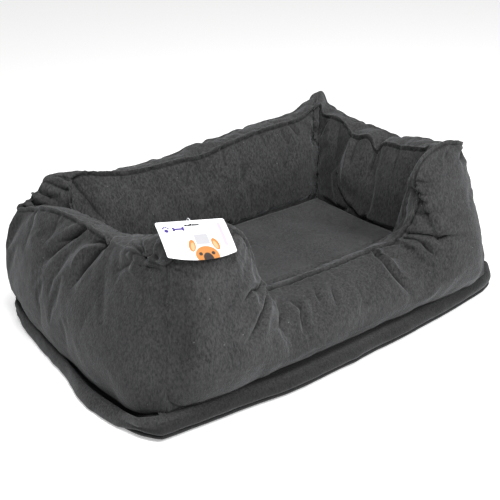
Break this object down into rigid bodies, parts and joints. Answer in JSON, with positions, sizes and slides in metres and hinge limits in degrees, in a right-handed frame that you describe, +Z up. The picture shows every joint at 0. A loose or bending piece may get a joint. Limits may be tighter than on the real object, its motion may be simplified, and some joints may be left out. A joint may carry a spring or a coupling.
{
  "type": "pet cushion bed",
  "caption": "Rectangular stuffed pet bed with box-cushion walls, a low front entry between two tall ears, a loose cushion in the well and a hang card.",
  "frame": {"origin": "on the floor under the middle of the bed", "axes": "+X to the right along the long side, +Y to the back wall, the low entry faces -Y, +Z up"},
  "size_m": [0.854, 0.574, 0.3363],
  "materials": {
    "cover_cloth": "matte",
    "underside_cloth": "matte",
    "fibre_filling": "matte",
    "printed_card": "satin",
    "loop_plastic": "gloss"
  },
  "bodies": {
    "bed": {"underside_panel": "underside_cloth", "base_band": "cover_cloth", "base_filling": "fibre_filling", "deck_panel": "cover_cloth", "front_wall_outer_panel": "cover_cloth", "front_wall_inner_panel": "cover_cloth", "front_wall_gusset": "cover_cloth", "front_wall_filling": "fibre_filling", "right_wall_outer_panel": "cover_cloth", "right_wall_inner_panel": "cover_cloth", "right_wall_gusset": "cover_cloth", "right_wall_filling": "fibre_filling", "back_wall_outer_panel": "cover_cloth", "back_wall_inner_panel": "cover_cloth", "back_wall_gusset": "cover_cloth", "back_wall_filling": "fibre_filling", "left_wall_outer_panel": "cover_cloth", "left_wall_inner_panel": "cover_cloth", "left_wall_gusset": "cover_cloth", "left_wall_filling": "fibre_filling", "tag_loop": "loop_plastic"},
    "cushion": {"cushion_top_cover": "cover_cloth", "cushion_bottom_cover": "cover_cloth", "cushion_filling": "fibre_filling"},
    "card": {"hang_card": "printed_card"}
  },
  "joints": [
    {"name": "cushion_lift", "type": "slide", "parent": "bed", "child": "cushion", "axis": [0, 0, 1], "range_m": [0, 0.35]},
    {"name": "card_swing", "type": "hinge", "parent": "bed", "child": "card", "pos_m": [-0.281, -0.1833, 0.3199], "axis": [-0.9794, 0.1029, 0.1736], "range_deg": [0, 60]}
  ]
}
